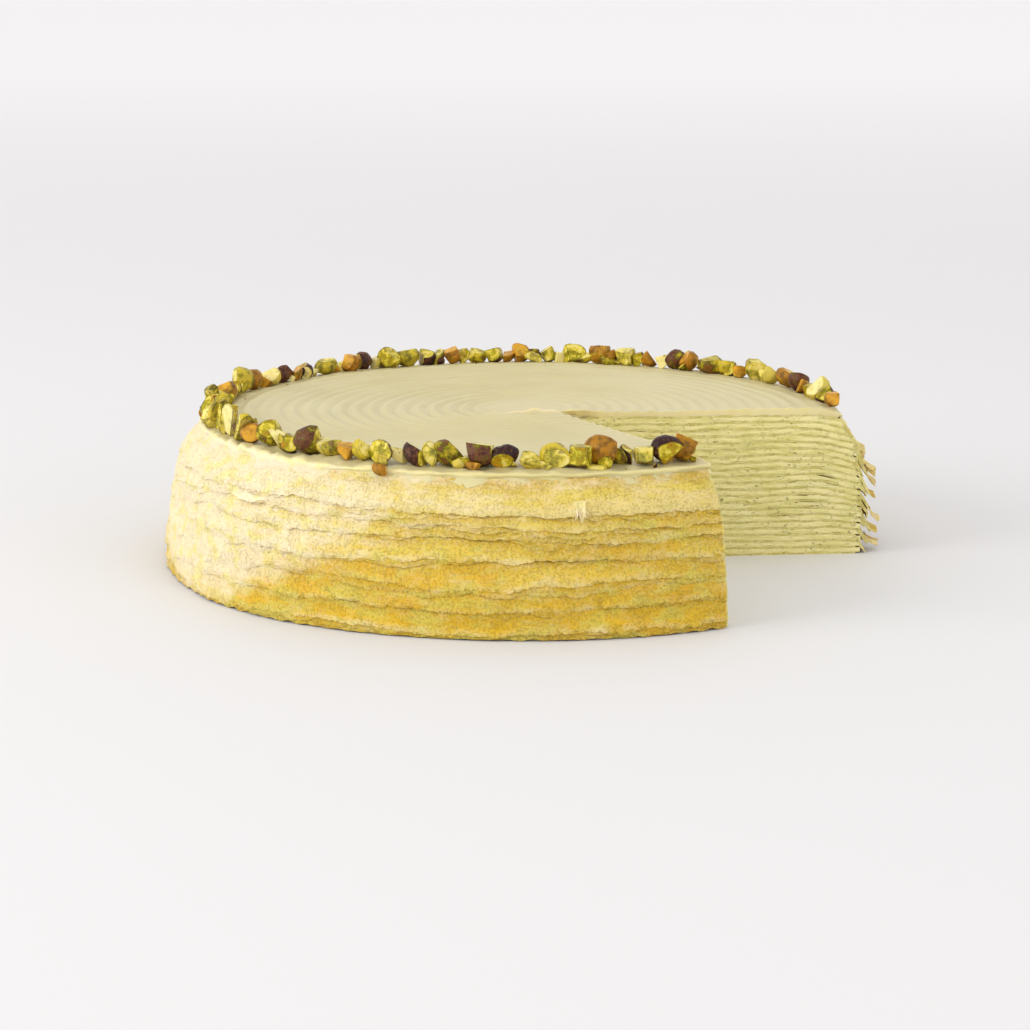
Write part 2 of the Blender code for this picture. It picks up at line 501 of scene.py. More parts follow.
def nutMaterial(name, skin, greener):
    look = nutLook
    # tone holds, for each nut: how dark its skin is, how ripe its flesh is, and a lightness
    recipe = Recipe(name)
    tone = recipe.add("ShaderNodeSeparateXYZ", {}, {"Vector": recipe.attribute("tone", "Vector")}, "X")
    parts = tone.socket.node.outputs
    dark, ripe, light = (Value(recipe, parts[axis]) for axis in ("X", "Y", "Z"))
    mottle = recipe.noise(330, 4, 0.65)
    fine = recipe.noise(1400, 3, 0.6)
    amber = recipe.mask(ripe + 1.2 * mottle - 0.6, 0.45, 0.85)
    brown = recipe.spots(0.42, 0.62, 420, 3, 0.6)
    if skin:
        shade = recipe.mask(dark + 2.0 * mottle - 1.0, 0.0, 1.0)
        colour = recipe.ramp(shade, (0.0, (0.56, 0.42, 0.022)), (0.22, (0.27, 0.215, 0.006)),
                             (0.44, (0.075, 0.066, 0.002)), (0.66, (0.14, 0.048, 0.018)),
                             (1.0, (0.028, 0.008, 0.009)))
        ripeSkin = recipe.mix(brown, look["amber"], look["amberDark"])
        colour = recipe.mix(amber * recipe.mask(dark, 0.6, 0.4), colour, ripeSkin)
        scurf = recipe.mask(fine, 0.52, 0.7) * 0.2
        colour = recipe.paint(colour, look, (light, "paleSkin"), (scurf, "scurf"))
        normal = recipe.bump(mottle + 0.5 * fine, 0.40 * mm, 0.95)
        return recipe.finish(colour, 0.26 + 0.25 * fine, normal, **look["shine"])
    shade = recipe.mask(0.5 * ripe + 2.1 * mottle - 0.80 + greener, 0.0, 1.0)
    colour = recipe.ramp(shade, (0.0, (0.82, 0.70, 0.24)), (0.28, (0.68, 0.54, 0.045)),
                         (0.55, (0.34, 0.29, 0.008)), (1.0, (0.08, 0.075, 0.002)))
    ripeFlesh = recipe.mix(brown * 0.8, look["amberCut"], look["amber"])
    colour = recipe.mix(amber * (1 - 0.6 * greener), colour, ripeFlesh)
    stain = recipe.spots(0.57, 0.66, 250, 4, 0.65)
    colour = recipe.paint(colour, look, (light * (1 - greener), "paleFlesh"), (stain * 0.6, "stain"))
    normal = recipe.bump(mottle + 0.4 * fine, 0.35 * mm, 0.9)
    return recipe.finish(colour, 0.26 + 0.2 * fine, normal, **look["fleshBody"], **look["shine"])


# how the rims hang, worked out from the lowest crepe up
skirts = {
    "columns": 700,              # steps round the cake
    "rows": 16,                  # steps down a hanging rim
    "thick": 0.60 * mm,          # where it lies flat
    "most": 0.90 * mm,           # the thickest any of it is
    "hangThick": 0.60,           # share of that left where it hangs
    "edgeThick": 0.15,           # and at its edge
    "step": 0.27 * mm,           # how far each rim stands out over the one below
    "bandSizes": (2, 2, 3, 3, 3, 3, 3, 3),                    # crepes that end together, from the top
    "bandDrops": (8.8, 8.0, 7.6, 7.4, 7.8, 8.2, 8.0, 8.0),    # mm from a band's top crepe to its edge
    "bandFlares": (1.5, 0.4, 1.6, 1.4, 0.7, 1.2, 0.7, 1.0),   # how much each band's edge lifts
    "innerFlare": 0.35,          # and the edges behind it
    "flare": 0.25 * mm,
    "flareTall": 2.2 * mm,       # how high above its edge a rim starts to lift
    "bend": 1.3 * mm,            # how far a crepe goes out as it folds over
    "bendTall": 0.8 * mm,
    # dents and creases: how many round the cake, how close up and down, and mm deep
    "dents": ((13, 170, 0.22), (31, 420, 0.15), (67, 900, 0.09)),
    # how far out the crepes fold over, as shares of the radius, bottom to top
    "foldAt": (0, 6, 10, 14, 17, 19, 21),
    "foldOut": (0.972, 0.966, 0.957, 0.943, 0.925, 0.907, 0.882),
    "backPull": 6.4 * mm,        # and how much less far beside the back cut
    "backReach": 24,             # degrees round the cake that the back cut loosens
    "smearedLitAt": 206,             # degrees, the side where most filling is wiped over them, its paleness there partly painted light
    "smearedLitReach": 42,
}

share = np.linspace(0, 1, skirts["columns"] + 1)
turnOf = roundCake(share, 0.95 * outerRadius)
gridStep = 0.25 * mm
gridHeights = np.arange(0, creamTop + 2 * mm, gridStep)
backLoose = nearTurn(turnOf - turnOf[0], 0, skirts["backReach"])
smearedLitSide = nearTurn(turnOf, skirts["smearedLitAt"], skirts["smearedLitReach"])


def wavy(seed, fewest, most, count=7):
    # unevenness that closes on itself round the cake, about -1 to 1
    rng = np.random.default_rng(seed)
    total = np.zeros_like(turnOf)
    for lobes, phase in zip(rng.integers(fewest, most + 1, count), rng.uniform(0, math.tau, count)):
        total += np.cos(lobes * turnOf + phase)
    return total / math.sqrt(count)


def crepeHeight(index):
    return index * pitch + skirts["thick"] / 2


def foldRadius(index):
    # round at the bottom, leaning in towards the top, and fuller on the left than by the back cut
    radius = outerRadius * np.interp(index, skirts["foldAt"], skirts["foldOut"])
    leftward = 0.9 * mm * np.cos(turnOf - math.radians(200))
    uneven = 0.45 * mm * wavy(3, 2, 6) + 0.15 * mm * wavy(40 + index, 5, 20)
    pull = skirts["backPull"] * (1 - 0.8 * (index / layerCount) ** 1.5)
    return radius + leftward + uneven - pull * backLoose


def edgeHeights():
    # height of every rim's lower edge all round
    edges = {}
    rng = random.Random(5)
    index = layerCount - 1
    for band, (size, drop) in enumerate(zip(skirts["bandSizes"], skirts["bandDrops"])):
        lead = index * pitch - drop * mm
        swing = 0.85 * wavy(100 + band, 2, 9) + 0.35 * wavy(200 + band, 12, 44)
        for member in range(size):
            own = 0.80 * wavy(300 + index, 3, 14) + 0.30 * wavy(400 + index, 18, 70)
            lace = 0.17 * wavy(500 + index, 80, 330, 14)
            nicks = 0.5 * np.clip(wavy(550 + index, 40, 120, 9) - 1.1, 0, 1)
            edge = lead + (swing + own * (0.4 if member == 0 else 1.0) + lace + nicks) * mm
            edge += (0.0 if member == 0 else rng.uniform(-1.9, -0.2) + 0.9 * (member - 1)) * mm
            scallop = 0.25 * mm * (1 + wavy(600 + index, 60, 130))
            lowest = skirts["thick"] * 0.4 + scallop * 0.8 + 0.35 * mm * member
            ceiling = crepeHeight(index) - np.minimum(1.6 * mm, 0.6 * crepeHeight(index))
            edges[index] = np.clip(edge, np.minimum(lowest, ceiling), ceiling)
            index -= 1
    return edges


def shifted(field, reach, axis, mode):
    # the field moved along one axis by every step up to reach, both ways
    pad = [(0, 0), (0, 0)]
    pad[axis] = (reach, reach)
    padded = np.pad(field, pad, mode=mode)
    return [np.take(padded, range(step, step + field.shape[axis]), axis=axis)
            for step in range(2 * reach + 1)]


def runningMost(field, reach, axis):
    return np.maximum.reduce(shifted(field, reach, axis, "constant"))


def soften(field, reach, axis):
    return sum(shifted(field, reach, axis, "edge")) / (2 * reach + 1)


def drape():
    # each rim lies over those already hanging; outer holds how far out they reach so far
    edges = edgeHeights()
    flares = []
    for size, flare in zip(skirts["bandSizes"], skirts["bandFlares"]):
        flares = [skirts["innerFlare"]] * (size - 1) + [flare] + flares
    outer = np.zeros((len(turnOf), len(gridHeights)))
    turnGrid, heightGrid = turnOf[:, None], gridHeights[None, :]
    shapes = []
    for index in range(layerCount):
        level = crepeHeight(index)
        down = np.clip(level - heightGrid, 0, None)
        fold = foldRadius(index)[:, None]
        slope = 0.08 + (0.26 + 0.06 * (index * 7 % 5)) * backLoose[:, None]
        own = fold + skirts["bend"] * (1 - np.exp(-down / skirts["bendTall"])) + slope * down
        over = runningMost(runningMost(outer, 2, 1), 1, 0)
        over = np.where(over > 0, over + 0.3 * skirts["step"], 0)
        hug = soften(soften(np.maximum(own, over), 3, 1), 2, 0)
        closer = skirts["step"] * (1 - 0.35 * smearedLitSide[:, None])
        hug = np.maximum(hug, np.where(outer > 0, outer + closer, 0))
        hug = soften(np.maximum(hug, fold), 1, 0)
        for lobes, tall, size in skirts["dents"]:
            swirl = wavy(700 + index + lobes, lobes // 2, lobes * 2)[:, None]
            hug = hug + size * mm * swirl * np.sin(heightGrid * tall + lobes * turnGrid + index)
        edge = edges[index]
        lift = skirts["flare"] * flares[index] * (1 - 0.9 * smearedLitSide)
        lift = lift * np.clip(0.15 + 0.9 * wavy(800 + index, 4, 26), 0, 2.6)
        near = np.clip(1 - (heightGrid - edge[:, None]) / skirts["flareTall"], 0, 1)
        ruffle = 0.13 * mm * wavy(850 + index, 70, 190, 9)
        ruffle = ruffle + 0.10 * mm * wavy(870 + index, 30, 80)
        hug = hug + lift[:, None] * near ** 2 + ruffle[:, None] * near
        covers = (heightGrid >= edge[:, None] - gridStep) & (heightGrid <= level)
        outer = np.where(covers, np.maximum(outer, hug), outer)
        shapes.append([level, edge, hug, None])
    # lowest edge hanging outside each rim
    cover = creamTop - (3.2 + 0.5 * wavy(77, 5, 30)) * mm
    for index in reversed(range(layerCount)):
        shapes[index][3] = cover
        cover = np.minimum(cover, edges[index])
    return shapes, outer


def columnAt(turn):
    return np.rint(np.interp(turn, turnOf, np.arange(len(turnOf)))).astype(int)


def cellAt(height):
    return np.clip((height / gridStep).astype(int), 0, len(gridHeights) - 1)


def radiusAt(hug, heights):
    # reads the draped radius of every column at its own height
    place = np.clip(heights / gridStep, 0, len(gridHeights) - 1.001)
    low = place.astype(int)
    part = place - low
    rows = np.arange(hug.shape[0])
    return hug[rows, low] * (1 - part) + hug[rows, low + 1] * part


rowSpread = 0.01      # how far apart the rows of the flat template are, share of the radius


def wedgeOutline(name, columns, cuts):
    # arc from one cut to the other, joined to the tip of the wedge, with its cut sides divided
    radius = 0.95 * outerRadius
    start, end = cutAngle("backSide", radius), cutAngle("frontSide", radius)
    corners = [Vector((radius * math.cos(turn), radius * math.sin(turn), 0)) for turn in (start, end)]
    piece = oneVertex(name, corners[0])
    startEditing()
    bpy.ops.mesh.spin(steps=columns, angle=float(end - start), center=(0, 0, 0), axis=(0, 0, -1))
    for corner in corners:
        selectPoints(piece, lambda co: (co - corner).length < 0.01 * mm)
        bpy.ops.mesh.extrude_vertices_move(TRANSFORM_OT_translate={
            "value": (tip[0] - corner.x, tip[1] - corner.y, 0)})
    bpy.ops.mesh.select_all(action="SELECT")
    bpy.ops.mesh.remove_doubles(threshold=0.01 * mm)
    ends = [*corners, Vector((tip[0], tip[1], 0))]
    selectPoints(piece, lambda co: min((co - place).length for place in ends) < 0.01 * mm)
    bpy.ops.mesh.subdivide(number_cuts=cuts)
    bpy.ops.mesh.select_all(action="SELECT")
    bpy.ops.mesh.edge_face_add()
    endEditing()
    return piece, radius


def crepeTemplate():
    piece, radius = wedgeOutline("crepeTemplate", skirts["columns"], 50)
    selectPoints(piece, lambda co: co.xy.length > radius * 0.9999)
    for row in range(skirts["rows"]):
        bpy.ops.mesh.extrude_edges_move()
        wider = (1 + rowSpread * (row + 1)) / (1 + rowSpread * row)
        bpy.ops.transform.resize(value=(wider, wider, 1), center_override=(0, 0, 0))
    endEditing()
    return piece, radius


def readTemplate(piece, radius):
    # which column and row each point is on, or how far along a cut it is
    coords = pointsOf(piece)
    reach = np.hypot(coords[:, 0], coords[:, 1])
    rows = np.rint((reach / radius - 1) / rowSpread).astype(int)
    rows = np.where(reach > radius * 0.9999, rows, -1)
    start, end = cutAngle("backSide", radius), cutAngle("frontSide", radius)
    turn = unwound(np.arctan2(coords[:, 1], coords[:, 0]), start)
    around = np.clip((turn - start) / (end - start), 0, 1)
    away = coords[:, :2] - tip
    length = np.hypot(away[:, 0], away[:, 1])
    fullBack, fullFront = (math.hypot(radius * math.cos(side) - tip[0], radius * math.sin(side) - tip[1])
                           for side in (start, end))
    front = away @ cutDirection("frontSide") > away @ cutDirection("backSide")
    return rows, around, length / np.where(front, fullFront, fullBack), front


def onCut(along, front, ends):
    # points on the two straight cuts, at their share of the way from the tip to the rim
    target = np.where(front[:, None], ends[1], ends[0])
    return tip + along[:, None] * (target - tip)


def outOfCut(coords, front, push):
    # moves points out of the cut face by push, square to it
    frontWay, backWay = cutDirection("frontSide"), cutDirection("backSide")
    outFront = np.array([-frontWay[1], frontWay[0]])
    outBack = np.array([backWay[1], -backWay[0]])
    way = np.where(front[:, None], outFront, outBack)
    moved = coords.copy()
    moved[:, :2] += way * push[:, None]
    return moved


def makeCrepe(index, template, layout, shape, material):
    level, edge, hug, cover = shape
    rows, around, along, front = layout
    piece = ownCopy(template, f"softCrepe{index + 1:02d}")
    low = np.floor(around * skirts["columns"] + 1e-6).astype(int).clip(0, skirts["columns"])
    spread = 0.5 - 0.5 * np.cos(np.pi * np.arange(skirts["rows"] + 1) / skirts["rows"])
    coords = np.zeros((len(rows), 3))
    depth, under = np.zeros(len(rows)), np.zeros(len(rows))
    for row in range(skirts["rows"] + 1):
        heights = level - spread[row] * (level - edge)
        out = radiusAt(hug, heights)
        if row == 0:
            out = np.minimum(out, foldRadius(index) + 0.4 * mm)
        ring = roundPoints(out, roundCake(share, out), heights)
        mine = rows == row
        coords[mine] = ring[low[mine]]
        depth[mine] = (heights - edge)[low[mine]]
        under[mine] = (cover - heights)[low[mine]]
        if row == 0:
            ends = ring[0, :2], ring[-1, :2]
    flat = rows < 0
    coords[flat, :2] = onCut(along[flat], front[flat], ends)
    coords[flat, 2] = level
    depth[flat] = 10 * mm
    push = 0.06 * mm * np.sin(along * 90 + index * 1.7) + 0.05 * mm
    coords[flat] = outOfCut(coords[flat], front[flat], push[flat])
    placePoints(piece, settle(coords))
    loose, leftSide = backLoose[low], smearedLitSide[low]
    # on the lit left the smear colour reaches almost to the bottom: partly wiped filling, partly painted
    # light
    lowest = (35 - 41 * leftSide) * mm
    creamy = smoothStep(coords[:, 2], lowest, lowest + 15 * mm) * (0.10 + 0.90 * leftSide)
    shoulder = smoothStep(coords[:, 2], 41.0 * mm, 43.4 * mm)
    creamy = np.maximum(creamy, (0.40 + 0.45 * leftSide) * shoulder)
    toast = 0.12 * wavy(900 + index, 2, 8) + 0.14 * math.sin(index * 2.4)
    toast += 0.26 * np.cos(turnOf - math.radians(305)) - 0.10 * np.clip(index / 10 - 1.2, 0, 1)
    toast += 0.16 * backLoose
    atCut = np.minimum(around, 1 - around) < 0.4 / skirts["columns"]
    addPointValues(piece, fringe=np.clip(depth / (10 * mm), 0, 1), under=np.clip(under / (6 * mm), 0, 1),
                   creamy=creamy, toast=toast[low], cutSide=np.where(flat | atCut, 1.0, 0.08 * loose))
    edgeThick = skirts["edgeThick"] + 0.25 * loose
    hangThick = skirts["hangThick"] + 0.85 * loose
    hangThick = edgeThick + (hangThick - edgeThick) * np.clip(depth / (2.5 * mm), 0, 1)
    thicknessGroup(piece, np.where(rows > 3, hangThick, 1.0) * skirts["thick"] / skirts["most"])
    faceOutwards(piece)
    applyModifier(piece, "SOLIDIFY", thickness=skirts["most"], offset=0.0, use_even_offset=False,
                  vertex_group="thickness", use_rim=True)
    faceOutwards(piece)
    finish(piece, material, "crepe", crepeNames[index])


def makeCrepes(shapes):
    template, radius = crepeTemplate()
    layout = readTemplate(template, radius)
    material = crepeMaterial()
    for index in range(layerCount):
        makeCrepe(index, template, layout, shapes[index], material)
    bpy.data.objects.remove(template)
    print("crepes made:", layerCount)


filling = {
    "columns": 220,
    "levels": (0.0, 0.12, 0.35, 0.65, 0.88, 1.0),   # share of the thickness
    "bulge": 0.06 * mm,
    "inset": 0.2 * mm,
}


def fillingTemplate():
    piece, radius = wedgeOutline("fillingTemplate", filling["columns"], 110)
    startEditing()
    for low, high in zip(filling["levels"], filling["levels"][1:]):
        bpy.ops.mesh.extrude_region_move(TRANSFORM_OT_translate={"value": (0, 0, (high - low) * mm)})
    endEditing()
    return piece, radius


def makeFilling(index, template, layout, material):
    rows, around, along, front = layout
    piece = ownCopy(template, f"pistachioCream{index + 1:02d}")
    upward = pointsOf(piece)[:, 2] / mm
    base = index * pitch + skirts["thick"]
    thick = pitch - skirts["thick"]
    folds = np.minimum(foldRadius(index), foldRadius(index + 1))
    rim = np.interp(around, share, folds - filling["inset"] + 2.3 * mm * backLoose)
    turn = roundCake(around, rim)
    coords = np.zeros((len(rows), 3))
    coords[:, 0], coords[:, 1] = rim * np.cos(turn), rim * np.sin(turn)
    ends = coords[np.argmin(around + (rows < 0)), :2], coords[np.argmax(around - (rows < 0)), :2]
    flat = rows < 0
    coords[flat, :2] = onCut(along[flat], front[flat], ends)
    coords[:, 2] = base + upward * thick
    belly = 1 - (2 * upward - 1) ** 4
    uneven = 0.6 + 0.5 * np.sin(along * 61 + index * 2.1) + 0.4 * np.sin(along * 143 + index * 4.3)
    push = filling["bulge"] * (belly - 0.7) * uneven + 0.10 * mm * np.sin(along * 34 + index * 1.1)
    rough = noiseOver(np.column_stack([along * 70, upward * 2.5, np.full(len(along), index * 3.7)]))
    coords[flat] = outOfCut(coords[flat], front[flat], (push + 0.20 * mm * rough)[flat])
    placePoints(piece, settle(coords))
    faceOutwards(piece)
    finish(piece, material, "cream", creamNames[index])


def makeFillings():
    template, radius = fillingTemplate()
    layout = readTemplate(template, radius)
    material = fillingMaterial()
    for index in range(layerCount - 1):
        makeFilling(index, template, layout, material)
    bpy.data.objects.remove(template)
    print("fillings made:", layerCount - 1)


creamCap = {
    "rays": 310,
    "rings": 132,
    "rimRings": 12,
    "thick": 2.2 * mm,
    "ripplePitch": 4.9 * mm,
    "rippleDepth": 0.47 * mm,
    "ridge": 1.2 * mm,        # along the back cut near its tip
    "ridgeWide": 0.7 * mm,
    "hang": 2.4 * mm,         # how far its rim comes down over the top crepe
    "standOut": 0.4 * mm,
    "lumps": 0.95 * mm,       # where the nuts were pressed in
    "lumpyAt": 216,           # degrees, where the rim is thickest
    "lumpyReach": 30,
}


def makeCreamCap(outer):
    look = creamCap
    rings = look["rings"]
    piece = oneVertex("creamTop", (tip[0], tip[1], 0))
    back = cutDirection("backSide")
    startEditing()
    bpy.ops.mesh.extrude_vertices_move(TRANSFORM_OT_translate={"value": (back[0], back[1], 0)})
    bpy.ops.mesh.select_all(action="SELECT")
    bpy.ops.mesh.subdivide(number_cuts=rings - 1)
    sweep = math.tau + math.radians(cut["frontSide"] - cut["backSide"])
    bpy.ops.mesh.select_all(action="SELECT")
    bpy.ops.mesh.spin(steps=look["rays"], angle=sweep, center=(tip[0], tip[1], 0), axis=(0, 0, -1))
    bpy.ops.mesh.select_all(action="SELECT")
    bpy.ops.mesh.remove_doubles(threshold=0.001 * mm)
    endEditing()

    coords = pointsOf(piece)
    away = coords[:, :2] - tip
    reach = np.hypot(away[:, 0], away[:, 1])
    ring = np.rint(reach * rings).astype(int)
    start = math.radians(cut["backSide"])
    turn = unwound(np.arctan2(away[:, 1], away[:, 0]), start)
    way = np.column_stack([np.cos(turn), np.sin(turn)])

    # where each ray meets the rim, and how the rim rolls over there
    flatRings = rings - look["rimRings"]
    rimRadius = foldRadius(layerCount - 1) - 0.2 * mm
    lean = way @ tip
    rim = np.full(len(coords), rimRadius.mean())
    for _ in range(3):
        meet = reachFromTip(lean, rim)
        spot = tip + way * meet[:, None]
        around = unwound(np.arctan2(spot[:, 1], spot[:, 0]), turnOf[0])
        rim = np.interp(around, turnOf, rimRadius)
    plan = tip + way * (meet * np.clip(ring / flatRings, 0, 1))[:, None]
    centre = np.hypot(plan[:, 0], plan[:, 1])

    # comb ripples round the middle, deeper on the left than in front
    strength = 0.40 + 0.60 * smoothStep(-plan[:, 0], -50 * mm, 40 * mm)
    strength *= smoothStep(plan[:, 1], -75 * mm, -25 * mm) * 0.85 + 0.15
    strength *= smoothStep(centre, 6 * mm, 22 * mm) * smoothStep(rimRadius.mean() - centre, 5 * mm, 12 * mm)
    ripple = look["rippleDepth"] * np.cos(math.tau * centre / look["ripplePitch"]) * strength
    swell = 0.18 * mm * np.sin(plan[:, 0] * 85 + 1) * np.sin(plan[:, 1] * 70 + 2)
    height = creamTop + ripple + swell - 0.15 * mm

    # a raised lip of cream where the knife went in, running on past the tip
    offBack = -(plan - tip) @ np.array([back[1], -back[0]])
    alongBack = (plan - tip) @ back
    pastTip = smoothStep(alongBack, -30 * mm, -6 * mm) * (1 - 0.8 * smoothStep(alongBack, 0, 16 * mm))
    lip = np.exp(-((offBack - 0.4 * mm) / look["ridgeWide"]) ** 2) * pastTip
    height += look["ridge"] * lip * (0.7 + 0.5 * np.sin(plan[:, 0] * 700) * np.sin(plan[:, 0] * 311 + 1))
    coords[:, :2] = plan
    coords[:, 2] = height

    # the rim rolls down over the top crepe, thicker and lumpy on the left and in front
    over = ring > flatRings
    rolled = np.clip((ring - flatRings) / look["rimRings"], 0, 1)
    lumps = np.clip(0.8 + 0.8 * np.interp(around, turnOf, wavy(31, 9, 60, 12)), 0.1, 3)
    leftFront = nearTurn(around, look["lumpyAt"], look["lumpyReach"])
    drop = look["hang"] + (0.5 * lumps + 1.1 * lumps * leftFront) * mm
    stand = look["standOut"] + 0.5 * lumps * leftFront * mm
    sweepTurn = rolled * math.pi / 2
    outward = rim + stand * np.sin(sweepTurn) + 2.0 * mm * rolled
    downward = drop * (1 - np.cos(sweepTurn)) + 0.1 * mm
    below = outer[columnAt(around), cellAt(creamTop - downward)]
    under = np.where(below > 0, below, rim)
    hug = smoothStep(rolled, 0.35, 0.8) * (1 - 0.7 * leftFront * (1 - smoothStep(rolled, 0.65, 0.95)))
    laid = np.maximum(outward * (1 - hug) + (under + 0.16 * mm) * hug, under + 0.12 * mm)
    outward = np.where(over, laid, outward)
    coords[over, :2] = (tip + way * reachFromTip(lean, outward)[:, None])[over]
    coords[over, 2] = (creamTop - downward)[over]
    # lumpy where the nuts were pressed in and the knife wiped the edge, most of all on the left
    away = np.hypot(coords[:, 0], coords[:, 1])
    lumpy = smoothStep(away, 89 * mm, 97 * mm) * (0.7 + 0.7 * leftFront) * (1 - 0.75 * rolled)
    swell = noiseOver(coords * 210) + 0.6 * noiseOver(coords * 470)
    coords[:, 2] += lumpy * look["lumps"] * swell
    coords[:, :2] *= (1 + lumpy * rolled * 0.8 * mm * swell / away.clip(1 * mm))[:, None]
    placePoints(piece, settle(coords))

    faceOutwards(piece)
    if sum(polygon.normal.z for polygon in piece.data.polygons) < 0:
        piece.data.flip_normals()
    thicknessGroup(piece, 1 - 0.92 * smoothStep(rolled, 0.0, 0.75))
    end = math.radians(cut["frontSide"]) + math.tau
    atCut = (np.minimum(turn - start, end - turn) < 1e-3) & (ring > 0)
    wiped = 0.9 * leftFront * smoothStep(rolled, 0.05, 0.5)
    wiped = np.maximum(wiped, 0.75 * lip * (offBack > -2 * mm))
    wiped = np.maximum(wiped, 0.12 * smoothStep(rolled, 0.2, 0.8))
    # the cap's cut side gets the rim tint and some smear colour as painted light, since that face stands in
    # shade
    addPointValues(piece, rim=np.where(atCut, 0.7, smoothStep(rolled, 0.0, 0.5)),
                   wiped=np.where(atCut, 0.25, np.clip(wiped, 0, 1)))
    applyModifier(piece, "SOLIDIFY", thickness=look["thick"], offset=-1.0, use_rim=True,
                  vertex_group="thickness")
    faceOutwards(piece)
    finish(piece, topCreamMaterial(), "top_cream", creamNames[-1], angle=60)
    print("cream top made")


nuts = {
    "length": 9.2 * mm,
    "width": 6.9 * mm,
    "height": 6.6 * mm,
    "ringRadius": (ringHigh.x - ringLow.x) / 2 - 4.2 * mm,
    "leftward": 2.1 * mm,
    "sink": 0.5 * mm,
    "models": 6,              # different nuts of each shape
    "sizes": (0.94, 1.24),    # shares of the full size
    "frontLarger": 0.09,
    "besideCut": 1.15,        # share by which those beside the front cut are larger
    "stray": 1.1,             # mm in or out of the ring
    "tilt": 0.45,
    "twist": 0.6,
    "fillers": 62,            # small bits tucked in between the others
    "fillerSizes": (0.6, 0.95),
    "fillerStray": (1.4, 2.7),
    "rind": 0.24 * mm,        # green edge round a cut face
    "blunt": 0.22 * mm,
    "seed": 11,
}
# one letter pair for each nut round the ring, clockwise from the front cut: shape, then colour.
# shapes: k kernel, h half, c chunk, b block, s sliver, t small bit
# colours: p pale, y yellow green, g green, o olive, a amber, d dark skin, u purple skin
ringOrder = (
    "ba cu by tu tg ca bo ky hy ku bd to kg ty cu tp hd cy ta by tp co bu ty tp co ka sy hg sp sy "
    "tu ty sg sy cp so ty sg hu ca sg ty by ca tp co to cy ca ta cp hd tg ku tp ky ta ba cd tp co ky "
    "cu ty ba to cg bd ta ca to bd tp cg ty ba ta by tu ca tp co ca tg co ty tg ba by to cp ka tp cd "
    "ta ty bo cp cd ba"
).split()
tones = {                     # skin darkness, ripeness of the flesh, paleness
    "p": (0.12, 0.10, 0.60),
    "y": (0.16, 0.22, 0.10),
    "g": (0.40, 0.42, 0.00),
    "o": (0.48, 0.50, 0.00),
    "a": (0.30, 0.85, 0.05),
    "d": (0.72, 0.35, 0.00),
    "u": (0.95, 0.55, 0.00),
}


def kernelShape(name, seed):
    # a pistachio kernel: round at one end, drawn to a blunt point at the other, slightly ridged
    clearSelection()
    bpy.ops.mesh.primitive_uv_sphere_add(segments=18, ring_count=12, radius=0.5, location=(0, 0, 0))
    piece = bpy.context.object
    piece.name = name
    rng = random.Random(seed)
    size = Vector((nuts["length"], nuts["width"], nuts["height"])) * rng.uniform(0.88, 1.08)
    offset = Vector((rng.uniform(0, 9), rng.uniform(0, 9), rng.uniform(0, 9)))
    for vert in piece.data.vertices:
        co = vert.co.copy()
        along = co.z * 2
        taper = 1 - 0.30 * max(0, along) ** 1.6
        bumps = 1 + 0.16 * noise.noise(co * 3 + offset) + 0.09 * noise.noise(co * 7 + offset)
        girth = taper * bumps
        vert.co = Vector((along * 0.5 * size.x, co.x * girth * size.y, co.y * girth * size.z))
    for part in ("skin", "flesh", "rind"):
        piece.data.materials.append(nutFinish[part])
    return piece


def knifeCut(piece, point, normal):
    # one knife cut; the new face shows the flesh inside a green edge
    makeActive(piece)
    bpy.ops.object.mode_set(mode="EDIT")
    bpy.ops.mesh.select_mode(type="FACE")
    bpy.ops.mesh.select_all(action="SELECT")
    bpy.ops.mesh.bisect(plane_co=point, plane_no=normal, use_fill=True, clear_outer=True)
    endEditing()
    way = Vector(normal).normalized()
    for face in piece.data.polygons:
        away = (face.center - Vector(point)).dot(way)
        face.select = abs(face.normal.dot(way)) > 0.995 and abs(away) < 0.05 * mm
        if face.select:
            face.material_index = 2
    bpy.ops.object.mode_set(mode="EDIT")
    bpy.ops.mesh.inset(thickness=nuts["rind"])
    endEditing()
    for face in piece.data.polygons:
        if face.select:
            face.material_index = 1


# the cuts that make each shape: the axis a cut crosses, which way it faces, the shares of the nut's
# length or width between which it is made, and how far it may lean along the other two axes
nutCuts = {
    "k": ((2, 1, 0.24, 0.36, 0.5, 0.4),),
    "h": ((2, 1, -0.04, 0.04, 0.15, 0.2), (0, -1, -0.4, -0.25, 0.5, 0.5)),
    "c": ((0, 1, 0.02, 0.22, 0.5, 0.4), (2, 1, 0.12, 0.3, 0.4, 0.4)),
    "b": ((0, 1, 0.18, 0.3, 0.3, 0.3), (0, -1, -0.3, -0.2, 0.3, 0.3), (2, 1, 0.14, 0.26, 0.2, 0.2),
          (1, 1, 0.18, 0.32, 0.2, 0.2)),
    "s": ((2, 1, 0.13, 0.13, 0.2, 0.2), (2, -1, -0.06, -0.06, 0.2, 0.2), (1, 1, 0.16, 0.16, 0.2, 0.1)),
    "t": ((0, 1, -0.06, -0.06, 0.5, 0.5), (1, 1, 0.02, 0.02, 0.4, 0.4), (2, 1, 0.1, 0.1, 0.4, 0.4)),
}


